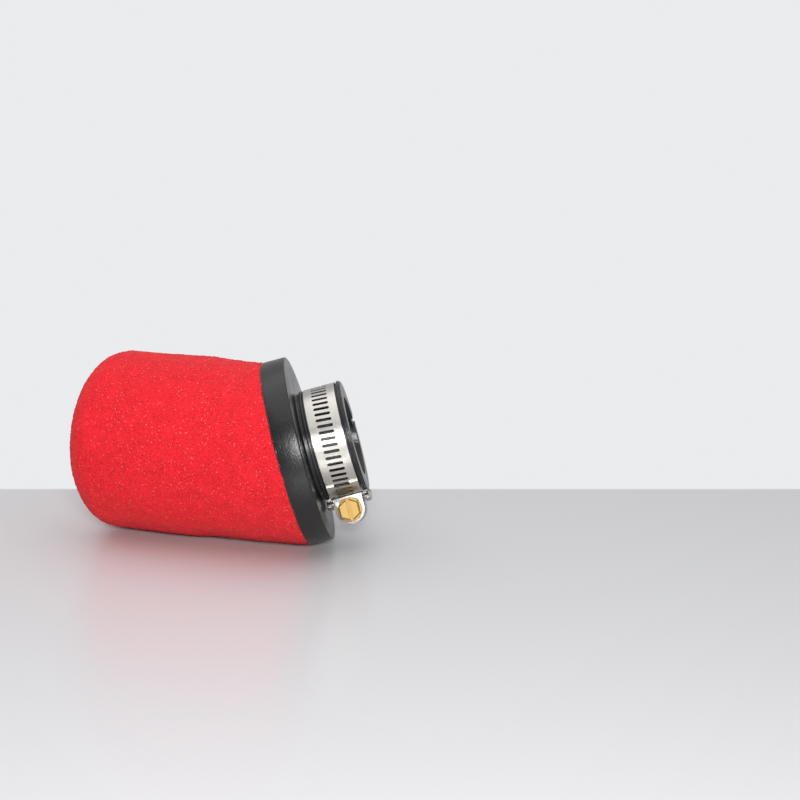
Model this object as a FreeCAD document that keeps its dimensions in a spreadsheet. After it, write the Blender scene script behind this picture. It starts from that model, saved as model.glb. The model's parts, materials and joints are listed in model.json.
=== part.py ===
"""Clamp-on foam pod air filter with an angled rubber neck, modelled lying as it rests.

Every sub-part is designed in the neck frame: origin at the centre of the mouth, +Z along the neck
axis into the filter, +X the way the foam leans. The foam and its cage have a frame of their own,
leaned by the neck angle, and the clamp has one at the middle of its band, with +X out through the
screw and +Y along the screw towards its head. One placement then lays the whole filter down: row
+Z is up from the table, +X runs along the foam's resting line towards the neck, and the origin
stays at the mouth's centre.
"""
import FreeCAD
import Part
import Sketcher
import math
import os

Vector = FreeCAD.Vector
Rotation = FreeCAD.Rotation
Placement = FreeCAD.Placement

# Driving dimensions: millimetres and degrees.
DRIVING = {
    # rubber moulding
    "bore_radius": 16.0,
    "face_radius": 22.5,
    "face_depth": 0.6,
    "lip_radius": 23.0,
    "lip_width": 1.65,
    "seat_radius": 21.6,
    "bead_radius": 22.7,
    "bead_width": 1.2,
    "root_radius": 21.9,
    "root_length": 1.67,
    "flange_radius": 37.65,
    "flange_thickness": 9.15,
    "throat_radius": 19.5,
    "throat_depth": 5.0,
    "edge_round": 0.35,
    "rim_round": 0.9,
    "root_round": 0.8,
    "notch_width": 3.4,
    "notch_depth": 0.7,
    "notch_angle": 29.5,
    # foam and glue
    "lean_angle": 25.5,
    "rest_roll": 53.0,
    "foam_radius": 36.55,
    "foam_taper": 0.1,
    "foam_length": 81.4,
    "foam_join": 24.0,
    "foam_round": 10.0,
    "foam_dome": 3.0,
    "cavity_round": 5.0,
    "rim_step": 0.2,
    "outer_wall": 8.6,
    "inner_wall": 5.0,
    "end_wall": 10.0,
    "glue_thickness": 0.5,
    "layer_gap": 0.05,
    # wire cage
    "wire_radius": 0.8,
    "cage_gap": 0.15,
    "bow_corner": 6.0,
    "bow_turn": 45.0,
    "hoop_margin": 5.0,
    # band clamp
    "clamp_angle": 141.0,
    "band_width": 12.7,
    "band_thickness": 0.6,
    "slot_count": 55,
    "slot_width": 1.25,
    "slot_length": 6.3,
    "tail_arc": 42.0,
    "tail_round": 3.5,
    "plain_arc": 24.0,
    "joggle_arc": 4.0,
    "joggle_place": 40.0,
    "saddle_thickness": 0.5,
    "seat_gap": 0.05,
    "edge_gap": 0.12,
    "head_length": 14.0,
    "cover_thickness": 0.6,
    "cover_gap": 0.25,
    "foot_lift": 0.2,
    "curl_rise": 2.4,
    "curl_reach": 1.5,
    "bend_outer": 0.95,
    "collar_round": 0.25,
    # worm screw
    "worm_radius": 5.0,
    "thread_depth": 0.8,
    "thread_root": 1.1,
    "thread_crest": 0.6,
    "thread_turns": 4,
    "thread_bite": 0.3,
    "shank_radius": 3.4,
    "pilot_radius": 2.2,
    "shaft_gap": 0.08,
    "end_play": 0.25,
    "collar_radius": 4.85,
    "collar_thickness": 1.1,
    "hex_across_flats": 7.94,
    "hex_height": 3.4,
    "head_slot_width": 1.3,
    "head_slot_depth": 1.9,
    "head_chamfer": 0.45,
    "thread_sink": 0.1,
    # how far a cut runs past what it cuts, and plain band past the clamp head, in degrees
    "cut_margin": 1.0,
    "plain_margin": 2.0,
}

# Dimensions that follow from the driving ones, each written after those it uses.
DERIVED = {
    "zero": "0",
    "side_gap": "edge_gap + saddle_thickness + edge_gap",
    "seat_end": "lip_width + 2 * side_gap + band_width",
    "bead_end": "seat_end + bead_width",
    "neck_length": "bead_end + root_length",
    "flange_back": "neck_length + flange_thickness",
    "notch_inner": "bore_radius - cut_margin",
    "notch_outer": "lip_radius + cut_margin",
    "notch_half": "notch_width / 2",
    "throat_start": "flange_back - throat_depth",
    # the foam tapers from the join to the closed end
    "taper_slope": "tan(foam_taper * 1deg)",
    "glue_back": "flange_back + glue_thickness",
    "skin_inset": "0",
    "skin_drop": "0",
    "lining_inset": "outer_wall",
    "lining_drop": "end_wall",
    "stage_inset": "outer_wall + layer_gap",
    "stage_drop": "end_wall + layer_gap",
    "cavity_inset": "stage_inset + inner_wall",
    "cavity_drop": "stage_drop + inner_wall",
    "cavity_radius": "foam_radius - taper_slope * foam_length - cavity_inset",
    "cavity_depth": "foam_length - cavity_drop",
    # the cage touches nothing but its own wires
    "hoop_radius": "cavity_radius - cage_gap - wire_radius",
    "bow_radius": "hoop_radius - 2 * wire_radius",
    "bow_side": "bow_radius * cos(bow_turn * 1deg)",
    "foot_reach": "bow_side / cos(lean_angle * 1deg)",
    "foot_aside": "bow_radius * sin(bow_turn * 1deg)",
    "ring_radius": "sqrt(foot_reach ^ 2 + foot_aside ^ 2)",
    "foot_rise": "bow_side * tan(lean_angle * 1deg)",
    "ring_clear": "(2 * wire_radius - glue_thickness) / cos(lean_angle * 1deg)",
    "foot_start": "ring_clear + wire_radius * tan(lean_angle * 1deg)",
    "high_foot": "foot_rise + foot_start",
    "low_foot": "foot_start - foot_rise",
    "ring_height": "flange_back + wire_radius",
    "upper_bow_end": "cavity_depth - cage_gap - wire_radius",
    "lower_bow_end": "upper_bow_end - 2 * wire_radius",
    "first_hoop": "foam_join + wire_radius",
    "last_hoop": "lower_bow_end - bow_corner - hoop_margin / 2",
    "middle_hoop": "(first_hoop + last_hoop) / 2",
    # layers of the clamp, from the seat outwards
    "saddle_inner": "seat_radius + seat_gap",
    "saddle_outer": "saddle_inner + saddle_thickness",
    "band_inner": "saddle_outer + seat_gap",
    "band_outer": "band_inner + band_thickness",
    "lap_inner": "band_outer + seat_gap",
    "lap_outer": "lap_inner + band_thickness",
    "band_half": "band_width / 2",
    "clamp_middle": "lip_width + side_gap + band_half",
    "worm_lead": "2 * pi * (lap_outer - thread_bite) / slot_count",
    "screw_place": "lap_outer - thread_bite + worm_radius",
    "lead_slope": "worm_lead / (2 * pi * worm_radius)",
    "slot_span": "(slot_length - slot_width) / 2",
    "slot_skew": "slot_span * lead_slope",
    "slot_round": "slot_width / 2",
    "cut_start": "band_inner - cut_margin",
    "cut_reach": "lap_outer + cut_margin - cut_start",
    "loop_arc": "360 - joggle_place + joggle_arc - plain_arc",
    "lap_arc": "joggle_place + tail_arc",
    # housing and saddle
    "head_half": "head_length / 2",
    "head_arc": "2 * asin(head_half / band_inner) / 1deg",
    "shelf_inner": "lip_radius + foot_lift",
    "foot_inner": "shelf_inner + saddle_thickness",
    "foot_outer": "foot_inner + cover_thickness",
    "foot_arc": "2 * asin(head_half / foot_outer) / 1deg",
    "foot_half_arc": "foot_arc / 2",
    "cover_inner": "worm_radius + cover_gap",
    "cover_outer": "cover_inner + cover_thickness",
    "wall_inner": "band_half + edge_gap",
    "wall_outer": "wall_inner + saddle_thickness",
    "curl_inner": "wall_outer + curl_reach",
    "curl_outer": "curl_inner + saddle_thickness",
    "curl_low": "foot_outer + curl_rise - saddle_thickness",
    "curl_top": "foot_outer + curl_rise",
    "bend_inner": "bend_outer - saddle_thickness",
    "foot_half": "curl_inner - bend_inner",
    "head_half_arc": "head_arc / 2",
    "plain_start": "head_half_arc + plain_margin",
    "fixed_arc": "plain_start + plain_arc",
    "shank_hole": "shank_radius + shaft_gap",
    "pilot_hole": "pilot_radius + shaft_gap",
    "room_length": "head_length - 2 * cover_thickness",
    # screw, along its own axis from the middle of the worm towards the head
    "worm_half": "thread_turns * worm_lead / 2 + thread_root / 2",
    "pilot_end": "head_half + end_play",
    "thread_height": "thread_turns * worm_lead",
    "root_low": "-thread_height / 2 - thread_root / 2",
    "root_high": "-thread_height / 2 + thread_root / 2",
    "crest_low": "-thread_height / 2 - thread_crest / 2",
    "crest_high": "-thread_height / 2 + thread_crest / 2",
    "core_radius": "worm_radius - thread_depth",
    "thread_foot": "core_radius - thread_sink",
    "hex_flat": "hex_across_flats / 2",
    "hex_radius": "hex_flat / cos(30deg)",
    "hex_half": "hex_radius / 2",
    "collar_back": "head_half + end_play",
    "hex_back": "collar_back + collar_thickness",
    "hex_front": "hex_back + hex_height",
    "head_slot_half": "head_slot_width / 2",
}

SURFACES = ("skin", "lining", "stage", "cavity")
for surface in SURFACES:
    DERIVED[surface + "_base"] = "flange_radius - rim_step - %s_inset" % surface
    DERIVED[surface + "_join"] = "foam_radius - taper_slope * foam_join - %s_inset" % surface
    DERIVED[surface + "_end"] = "foam_radius - taper_slope * foam_length - %s_inset" % surface
    DERIVED[surface + "_corner"] = "foam_length - %s_drop" % surface
    DERIVED[surface + "_top"] = "%s_corner + foam_dome" % surface

document = FreeCAD.newDocument("AirFilter")
sheet = document.addObject("Spreadsheet::Sheet", "Sizes")


def fill_sheet():
    """Write the driving and the derived dimensions into the sheet, one aliased cell each."""
    entries = list(DRIVING.items())
    entries += [(name, "=" + rule) for name, rule in DERIVED.items()]
    for row, (name, content) in enumerate(entries, start=1):
        sheet.set("A%d" % row, name)
        sheet.setAlias("B%d" % row, name)
        sheet.set("B%d" % row, str(content))
    document.recompute()


def size(name):
    """Value of a cell; a leading minus turns it round."""
    value = float(getattr(sheet, name.lstrip("-")))
    return -value if name.startswith("-") else value


def rule(name):
    """Expression that reads a cell; a leading minus turns it round."""
    sign = "-" if name.startswith("-") else ""
    return sign + "Sizes." + name.lstrip("-")


def new_body(label):
    """Empty body that carries its label into the file."""
    body = document.addObject("PartDesign::Body", label)
    body.Label = label
    return body


def origin_item(body, role):
    """Plane or axis of a body's own origin."""
    return next(item for item in body.Origin.OriginFeatures if item.Role == role)


def new_sketch(body, name, plane, turn=None, turn_axis=Vector(0, 1, 0), lift=None):
    """Sketch on an origin plane, turned about its own axis or lifted off it by a cell's value."""
    sketch = body.newObject("Sketcher::SketchObject", name)
    sketch.AttachmentSupport = [(origin_item(body, plane + "_Plane"), "")]
    sketch.MapMode = "FlatFace"
    if turn:
        sketch.AttachmentOffset = Placement(Vector(), Rotation(turn_axis, 0))
        sketch.setExpression(".AttachmentOffset.Rotation.Angle", rule(turn) + " * 1deg")
    if lift:
        sketch.setExpression(".AttachmentOffset.Base.z", rule(lift))
    return sketch


def hold(sketch, kind, *target):
    """Constrain part of a sketch to the value of the cell named last."""
    name = target[-1]
    index = sketch.addConstraint(Sketcher.Constraint(kind, *target[:-1], size(name)))
    sketch.setExpression("Constraints[%d]" % index, rule(name))


def outline(sketch, corners):
    """Closed outline of straight sides through corners given as pairs of cell names."""
    points = [Vector(size(across), size(along), 0) for across, along in corners]
    count = len(points)
    for index in range(count):
        sketch.addGeometry(Part.LineSegment(points[index], points[(index + 1) % count]))
    for index in range(count):
        sketch.addConstraint(Sketcher.Constraint("Coincident", index, 2, (index + 1) % count, 1))
    for index, (across, along) in enumerate(corners):
        hold(sketch, "DistanceX", index, 1, across)
        hold(sketch, "DistanceY", index, 1, along)
    return sketch


def block(sketch, low_across, high_across, low_along, high_along):
    """Rectangle between two pairs of cells."""
    return outline(sketch, [(low_across, low_along), (high_across, low_along),
                            (high_across, high_along), (low_across, high_along)])


def circle(sketch, radius, across="zero", along="zero"):
    """Circle of one cell's radius, centred at two others."""
    centre = Vector(size(across), size(along), 0)
    sketch.addGeometry(Part.Circle(centre, Vector(0, 0, 1), size(radius)))
    hold(sketch, "Radius", 0, radius)
    hold(sketch, "DistanceX", 0, 3, across)
    hold(sketch, "DistanceY", 0, 3, along)
    return sketch


def turned(body, name, sketch, kind="Revolution", arc=None):
    """Revolve a sketch about its vertical axis, all the way or through a cell's arc."""
    feature = body.newObject("PartDesign::" + kind, name)
    feature.Profile = sketch
    feature.ReferenceAxis = (sketch, ["V_Axis"])
    feature.Angle = 360
    if arc:
        feature.setExpression("Angle", rule(arc) + " * 1deg")
    document.recompute()
    return feature


def raised(body, name, sketch, length, kind="Pad", both_ways=False, backwards=False):
    """Pad or pocket a sketch by a cell's length, to one side of its plane or shared by both."""
    before = body.Shape.Volume if kind == "Pocket" else 0
    feature = body.newObject("PartDesign::" + kind, name)
    feature.Profile = sketch
    feature.setExpression("Length", rule(length))
    feature.Midplane = both_ways
    feature.Reversed = backwards
    document.recompute()
    if kind == "Pocket" and body.Shape.Volume > before - 1e-6:
        raise RuntimeError("%s cuts nothing" % name)
    return feature


def rounded(body, name, spots, radius, kind="Fillet", value="Radius"):
    """Fillet the circular edges about Z that pass through the given (radius, height) cells."""
    names = []
    for index, edge in enumerate(body.Shape.Edges, start=1):
        if edge.Degenerated or not isinstance(edge.Curve, Part.Circle) or abs(edge.Curve.Axis.z) < 0.999:
            continue
        centre = edge.Curve.Center
        for across, along in spots:
            near = abs(edge.Curve.Radius - size(across)) + abs(centre.z - size(along))
            if near + math.hypot(centre.x, centre.y) < 1e-4:
                names.append("Edge%d" % index)
    return dressed(body, name, names, radius, kind, value)


def dressed(body, name, edges, amount, kind="Fillet", value="Radius"):
    """Fillet or chamfer named edges of the body's last feature by a cell's amount."""
    base = body.Tip
    feature = body.newObject("PartDesign::" + kind, name)
    feature.Base = (base, edges)
    feature.setExpression(value, rule(amount))
    document.recompute()
    if not edges or "Invalid" in feature.State:
        raise RuntimeError("%s failed on %s" % (name, edges))
    return feature


def rubber_flange():
    """One moulding: mouth face and lip, band seat, retaining bead, neck root, flange and throat."""
    body = new_body("rubber_flange")
    profile = outline(new_sketch(body, "FlangeProfile", "XZ"), [
        ("bore_radius", "zero"), ("face_radius", "zero"),
        ("face_radius", "face_depth"), ("lip_radius", "face_depth"),
        ("lip_radius", "lip_width"), ("seat_radius", "lip_width"),
        ("seat_radius", "seat_end"), ("bead_radius", "seat_end"),
        ("bead_radius", "bead_end"), ("root_radius", "bead_end"),
        ("root_radius", "neck_length"), ("flange_radius", "neck_length"),
        ("flange_radius", "flange_back"), ("throat_radius", "flange_back"),
        ("bore_radius", "throat_start")])
    turned(body, "Moulding", profile)
    small = [("face_radius", "zero"), ("lip_radius", "face_depth"), ("lip_radius", "lip_width"),
             ("bead_radius", "seat_end"), ("bead_radius", "bead_end"), ("flange_radius", "flange_back")]
    rounded(body, "SmallRounds", small, "edge_round")
    rounded(body, "RimRound", [("flange_radius", "neck_length")], "rim_round")
    rounded(body, "RootRound", [("root_radius", "neck_length")], "root_round")
    notch = new_sketch(body, "NotchOutline", "XY", "notch_angle", Vector(0, 0, 1))
    block(notch, "notch_inner", "notch_outer", "-notch_half", "notch_half")
    raised(body, "Notch", notch, "notch_depth", "Pocket", backwards=True)
    return body


def glue_layer():
    """Ring of adhesive that joins both foam stages to the back of the flange."""
    body = new_body("glue_layer")
    section = new_sketch(body, "GlueSection", "XZ")
    block(section, "cavity_base", "skin_base", "flange_back", "glue_back")
    turned(body, "GlueRing", section)
    return body


def foam_surface(body, surface, filled):
    """Add or cut one foam surface: a loft off the slanted base, then a tapered domed end."""
    base = new_sketch(body, surface + "Base", "XY", "-lean_angle")
    circle(base, surface + "_base")
    join = new_sketch(body, surface + "Join", "XY", lift="foam_join")
    circle(join, surface + "_join")
    loft = body.newObject("PartDesign::AdditiveLoft" if filled else "PartDesign::SubtractiveLoft",
                          surface + "Loft")
    loft.Profile = base
    loft.Sections = [join]
    loft.Ruled = True
    document.recompute()

    end = new_sketch(body, surface + "End", "XZ")
    across, corner, top = (size(surface + part) for part in ("_end", "_corner", "_top"))
    start = size("foam_join")
    wide = size(surface + "_join")
    points = [Vector(0, top, 0), Vector(0, start, 0), Vector(wide, start, 0), Vector(across, corner, 0)]
    for first, second in zip(points, points[1:]):
        end.addGeometry(Part.LineSegment(first, second))
    rise = top - corner
    dome = (across ** 2 + rise ** 2) / (2 * rise)
    half_turn = math.asin(across / dome)
    arc = Part.Circle(Vector(0, top - dome, 0), Vector(0, 0, 1), dome)
    end.addGeometry(Part.ArcOfCircle(arc, math.pi / 2 - half_turn, math.pi / 2))
    for pair in ((0, 2, 1, 1), (1, 2, 2, 1), (2, 2, 3, 1), (3, 2, 0, 1)):
        end.addConstraint(Sketcher.Constraint("Coincident", *pair))
    end.addConstraint(Sketcher.Constraint("PointOnObject", 3, 3, -2))
    end.addConstraint(Sketcher.Constraint("PointOnObject", 0, 1, -2))
    end.addConstraint(Sketcher.Constraint("PointOnObject", 1, 1, -2))
    end.addConstraint(Sketcher.Constraint("Horizontal", 1))
    hold(end, "DistanceY", 0, 1, surface + "_top")
    hold(end, "DistanceY", 1, 1, "foam_join")
    hold(end, "DistanceX", 2, 1, surface + "_join")
    hold(end, "DistanceX", 2, 2, surface + "_end")
    hold(end, "DistanceY", 2, 2, surface + "_corner")
    turned(body, surface + "Dome", end, "Revolution" if filled else "Groove")
    corner_round = "foam_round" if filled and surface == "skin" else "cavity_round"
    rounded(body, surface + "Corner", [(surface + "_end", surface + "_corner")], corner_round)


def foam_stage(label, outside, inside):
    """One foam stage: a closed sleeve between two of the foam surfaces."""
    body = new_body(label)
    foam_surface(body, outside, True)
    foam_surface(body, inside, False)
    return body


def cage_ring():
    """Wire ring at the foot of the cage, lying on the back of the flange."""
    ring = document.addObject("Part::Torus", "cage_ring")
    ring.setExpression("Radius1", rule("ring_radius"))
    ring.setExpression("Radius2", rule("wire_radius"))
    return ring


def cage_hoop(label, height):
    """Wire hoop round the outside of the bows, square to the foam's axis."""
    hoop = document.addObject("Part::Torus", label)
    hoop.Label = label
    hoop.setExpression("Radius1", rule("hoop_radius"))
    hoop.setExpression("Radius2", rule("wire_radius"))
    return hoop, height


def cage_bow(label, turn, end):
    """U-shaped wire from the ring along the foam, over the closed end and back to the ring."""
    body = new_body(label)
    path = new_sketch(body, label + "Path", "XZ", turn)
    side, corner, top = size("bow_radius"), size("bow_corner"), size(end)
    shoulder = top - corner
    points = [Vector(side, size("high_foot"), 0), Vector(side, shoulder, 0),
              Vector(side - corner, top, 0), Vector(corner - side, top, 0),
              Vector(-side, shoulder, 0), Vector(-side, size("low_foot"), 0)]
    path.addGeometry(Part.LineSegment(points[0], points[1]))
    right = Part.Circle(Vector(side - corner, shoulder, 0), Vector(0, 0, 1), corner)
    path.addGeometry(Part.ArcOfCircle(right, 0, math.pi / 2))
    path.addGeometry(Part.LineSegment(points[2], points[3]))
    left = Part.Circle(Vector(corner - side, shoulder, 0), Vector(0, 0, 1), corner)
    path.addGeometry(Part.ArcOfCircle(left, math.pi / 2, math.pi))
    path.addGeometry(Part.LineSegment(points[4], points[5]))
    for pair in ((0, 2, 1, 1), (1, 2, 2, 1), (2, 2, 3, 1), (3, 2, 4, 1)):
        path.addConstraint(Sketcher.Constraint("Tangent", *pair))
    path.addConstraint(Sketcher.Constraint("Vertical", 0))
    path.addConstraint(Sketcher.Constraint("Horizontal", 2))
    path.addConstraint(Sketcher.Constraint("Vertical", 4))
    hold(path, "DistanceX", 0, 1, "bow_radius")
    hold(path, "DistanceY", 0, 1, "high_foot")
    hold(path, "DistanceX", 4, 2, "-bow_radius")
    hold(path, "DistanceY", 4, 2, "low_foot")
    hold(path, "DistanceY", 2, 1, end)
    hold(path, "Radius", 1, "bow_corner")
    hold(path, "Radius", 3, "bow_corner")
    section = new_sketch(body, label + "Section", "XY", turn, Vector(0, 0, 1), "high_foot")
    circle(section, "wire_radius", "bow_radius")
    pipe = body.newObject("PartDesign::AdditivePipe", label + "Wire")
    pipe.Profile = section
    pipe.Spine = (path, ["Edge%d" % number for number in range(1, 6)])
    document.recompute()
    return body


def band_arc(body, name, inner, outer, start, arc):
    """Stretch of the band between two radii, from a start angle through an arc."""
    section = new_sketch(body, name + "Section", "XZ", start)
    block(section, inner, outer, "-band_half", "band_half")
    turned(body, name, section, arc=arc)


def clamp_band():
    """Slotted strip: hugs the neck, steps up over its own fixed end and runs on as a tail."""
    body = new_body("clamp_band")
    band_arc(body, "Loop", "band_inner", "band_outer", "plain_arc", "loop_arc")
    band_arc(body, "Joggle", "band_inner", "lap_outer", "-joggle_place", "joggle_arc")
    band_arc(body, "Lap", "lap_inner", "lap_outer", "-joggle_place", "lap_arc")
    corners = []
    for index, edge in enumerate(body.Shape.Edges, start=1):
        middle = edge.CenterOfMass
        angle = math.degrees(math.atan2(middle.y, middle.x))
        at_tail = abs(angle - size("tail_arc")) < 0.01 and edge.Length < size("band_width") / 2
        if at_tail and abs(abs(middle.z) - size("band_half")) < 1e-4:
            corners.append("Edge%d" % index)
    dressed(body, "TailRound", corners, "tail_round")

    slot = new_sketch(body, "SlotOutline", "YZ", lift="cut_start")
    skew, span, radius = size("slot_skew"), size("slot_span"), size("slot_round")
    lean = math.atan2(skew, span)
    along = Vector(math.sin(lean), math.cos(lean), 0)
    across = Vector(math.cos(lean), -math.sin(lean), 0) * radius
    upper, lower = Vector(skew, span, 0), Vector(-skew, -span, 0)
    upper_end = Part.Circle(upper, Vector(0, 0, 1), radius)
    lower_end = Part.Circle(lower, Vector(0, 0, 1), radius)
    slot.addGeometry(Part.LineSegment(lower + across, upper + across))
    slot.addGeometry(Part.ArcOfCircle(upper_end, -lean, math.pi - lean))
    slot.addGeometry(Part.LineSegment(upper - across, lower - across))
    slot.addGeometry(Part.ArcOfCircle(lower_end, math.pi - lean, 2 * math.pi - lean))
    for pair in ((0, 2, 1, 1), (1, 2, 2, 1), (2, 2, 3, 1), (3, 2, 0, 1)):
        slot.addConstraint(Sketcher.Constraint("Tangent", *pair))
    slot.addConstraint(Sketcher.Constraint("Symmetric", 1, 3, 3, 3, -1, 1))
    hold(slot, "DistanceX", 1, 3, "slot_skew")
    hold(slot, "DistanceY", 1, 3, "slot_span")
    hold(slot, "Radius", 1, "slot_round")
    pocket = raised(body, "Slot", slot, "cut_reach", "Pocket", backwards=True)
    pattern = body.newObject("PartDesign::PolarPattern", "Slots")
    pattern.Originals = [pocket]
    pattern.Axis = (origin_item(body, "Z_Axis"), [""])
    pattern.Angle = 360
    pattern.setExpression("Occurrences", rule("slot_count"))
    body.Tip = pattern
    document.recompute()
    band_arc(body, "FixedEnd", "band_inner", "band_outer", "-plain_start", "fixed_arc")
    return body


def clamp_saddle():
    """Curved plate under the band, its sides folded up past the band's edges and curled over."""
    body = new_body("clamp_saddle")
    side = [("saddle_inner", "wall_outer"), ("shelf_inner", "wall_outer"), ("shelf_inner", "curl_outer"),
            ("curl_top", "curl_outer"), ("curl_top", "wall_outer"), ("curl_low", "wall_outer"),
            ("curl_low", "curl_inner"), ("foot_inner", "curl_inner"), ("foot_inner", "wall_inner"),
            ("saddle_outer", "wall_inner")]
    other_side = [(across, "-" + along) for across, along in reversed(side)]
    section = outline(new_sketch(body, "SaddleSection", "XZ", "-head_half_arc"), side + other_side)
    turned(body, "Channel", section, arc="head_arc")
    outer_bends = [("shelf_inner", "curl_outer"), ("curl_top", "curl_outer"),
                   ("shelf_inner", "-curl_outer"), ("curl_top", "-curl_outer")]
    rounded(body, "OuterBends", outer_bends, "bend_outer")
    inner_bends = [("curl_low", "curl_inner"), ("foot_inner", "curl_inner"),
                   ("curl_low", "-curl_inner"), ("foot_inner", "-curl_inner")]
    rounded(body, "InnerBends", inner_bends, "bend_inner")
    return body


def clamp_housing():
    """Barrel over the worm, with legs down to curved feet that lie inside the saddle's curls."""
    body = new_body("clamp_housing")
    legs = block(new_sketch(body, "LegOutline", "XZ"), "band_inner", "screw_place",
                 "-cover_outer", "cover_outer")
    raised(body, "Legs", legs, "head_length", both_ways=True)
    barrel = circle(new_sketch(body, "BarrelOutline", "XZ"), "cover_outer", "screw_place")
    raised(body, "Barrel", barrel, "head_length", both_ways=True)
    feet = block(new_sketch(body, "FeetSection", "XZ", "-foot_half_arc"), "foot_inner", "foot_outer",
                 "-foot_half", "foot_half")
    turned(body, "Feet", feet, arc="foot_arc")
    room = circle(new_sketch(body, "WormRoomOutline", "XZ"), "cover_inner", "screw_place")
    raised(body, "WormRoom", room, "room_length", "Pocket", both_ways=True)
    opening = block(new_sketch(body, "OpeningOutline", "XZ"), "zero", "screw_place",
                    "-cover_inner", "cover_inner")
    raised(body, "Opening", opening, "room_length", "Pocket", both_ways=True)
    under = block(new_sketch(body, "UnderSection", "XZ"), "zero", "foot_inner",
                  "-cover_outer", "cover_outer")
    turned(body, "Under", under, "Groove")
    shank = circle(new_sketch(body, "ShankHoleOutline", "XZ"), "shank_hole", "screw_place")
    raised(body, "ShankHole", shank, "head_length", "Pocket")
    pilot = circle(new_sketch(body, "PilotHoleOutline", "XZ"), "pilot_hole", "screw_place")
    raised(body, "PilotHole", pilot, "head_length", "Pocket", backwards=True)
    return body


def clamp_screw():
    """Worm, shank, collar and slotted hexagon head in one; +Z runs towards the head."""
    body = new_body("clamp_screw")
    core = outline(new_sketch(body, "CoreProfile", "XZ"), [
        ("zero", "-pilot_end"), ("pilot_radius", "-pilot_end"), ("pilot_radius", "-worm_half"),
        ("core_radius", "-worm_half"), ("core_radius", "worm_half"), ("shank_radius", "worm_half"),
        ("shank_radius", "collar_back"), ("collar_radius", "collar_back"),
        ("collar_radius", "hex_back"), ("zero", "hex_back")])
    turned(body, "Core", core)
    rounded(body, "CollarRound", [("collar_radius", "collar_back"), ("collar_radius", "hex_back")],
            "collar_round")
    hexagon = outline(new_sketch(body, "HexOutline", "XY", lift="hex_back"), [
        ("hex_radius", "zero"), ("hex_half", "hex_flat"), ("-hex_half", "hex_flat"),
        ("-hex_radius", "zero"), ("-hex_half", "-hex_flat"), ("hex_half", "-hex_flat")])
    raised(body, "Hex", hexagon, "hex_height")
    top = ["Edge%d" % index for index, edge in enumerate(body.Shape.Edges, start=1)
           if all(abs(corner.Z - size("hex_front")) < 1e-4 for corner in edge.Vertexes)]
    dressed(body, "HexChamfer", top, "head_chamfer", "Chamfer", "Size")
    slot = new_sketch(body, "DriverOutline", "XY", lift="hex_front")
    block(slot, "-collar_radius", "collar_radius", "-head_slot_half", "head_slot_half")
    raised(body, "DriverSlot", slot, "head_slot_depth", "Pocket")

    thread = outline(new_sketch(body, "ThreadSection", "XZ"), [
        ("thread_foot", "root_low"), ("worm_radius", "crest_low"),
        ("worm_radius", "crest_high"), ("thread_foot", "root_high")])
    helix = body.newObject("PartDesign::AdditiveHelix", "Thread")
    helix.Profile = thread
    helix.ReferenceAxis = (thread, ["V_Axis"])
    helix.Mode = 0
    helix.setExpression("Pitch", rule("worm_lead"))
    helix.setExpression("Height", rule("thread_height"))
    document.recompute()
    return body


def frames():
    """Placements of the neck, foam, clamp, screw and band frames in the row's frame."""
    lean = math.radians(size("lean_angle"))
    roll = math.radians(size("rest_roll"))
    taper = math.radians(size("foam_taper"))
    foam_axis = Vector(math.sin(lean), 0, math.cos(lean))
    raised_side = Vector(math.cos(lean), 0, -math.sin(lean)) * math.cos(roll)
    raised_side += Vector(0, -1, 0) * math.sin(roll)
    up = raised_side * math.cos(taper) - foam_axis * math.sin(taper)
    ahead = -(foam_axis * math.cos(taper) + raised_side * math.sin(taper))
    aside = up.cross(ahead)
    laid = FreeCAD.Matrix(ahead.x, ahead.y, ahead.z, 0, aside.x, aside.y, aside.z, 0,
                          up.x, up.y, up.z, 0, 0, 0, 0, 1)
    neck = Placement(laid)
    foam = neck * Placement(Vector(0, 0, size("glue_back")),
                            Rotation(Vector(0, 1, 0), size("lean_angle")))
    clamp = neck * Placement(Vector(0, 0, size("clamp_middle")),
                             Rotation(Vector(0, 0, 1), size("clamp_angle")))
    screw_axes = Rotation(Vector(-1, 0, 0), Vector(0, 0, 1), Vector(0, 1, 0), "ZXY")
    screw = clamp * Placement(Vector(size("screw_place"), 0, 0), screw_axes)
    # turned over, so that the tail comes out past the screw's tip and not under its head
    band = clamp * Placement(Vector(), Rotation(Vector(1, 0, 0), 180))
    return neck, foam, clamp, screw, band


def build():
    """Make every sub-part and lay it in its frame."""
    neck, foam, clamp, screw, band = frames()
    placed = [(rubber_flange(), neck), (glue_layer(), neck)]
    placed.append((foam_stage("outer_foam", "skin", "lining"), foam))
    placed.append((foam_stage("inner_foam", "stage", "cavity"), foam))
    placed.append((cage_ring(), neck * Placement(Vector(0, 0, size("ring_height")), Rotation())))
    for label in ("first", "middle", "last"):
        hoop, height = cage_hoop("cage_hoop_" + label, label + "_hoop")
        placed.append((hoop, foam * Placement(Vector(0, 0, size(height)), Rotation())))
    placed.append((cage_bow("cage_bow_upper", "bow_turn", "upper_bow_end"), foam))
    placed.append((cage_bow("cage_bow_lower", "-bow_turn", "lower_bow_end"), foam))
    placed.append((clamp_band(), band))
    placed.append((clamp_saddle(), clamp))
    placed.append((clamp_housing(), clamp))
    placed.append((clamp_screw(), screw))
    for part, place in placed:
        part.Placement = place
    document.recompute()
    return [part for part, place in placed]


def check(parts):
    """Stop if any object failed to compute or any sub-part is not one valid solid."""
    for item in document.Objects:
        if "Invalid" in item.State or "Error" in item.State:
            raise RuntimeError("%s failed: %s" % (item.Name, item.State))
    for part in parts:
        shape = part.Shape
        if shape.isNull() or not shape.isValid() or len(shape.Solids) != 1:
            raise RuntimeError("%s is not one valid solid" % part.Label)


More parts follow.
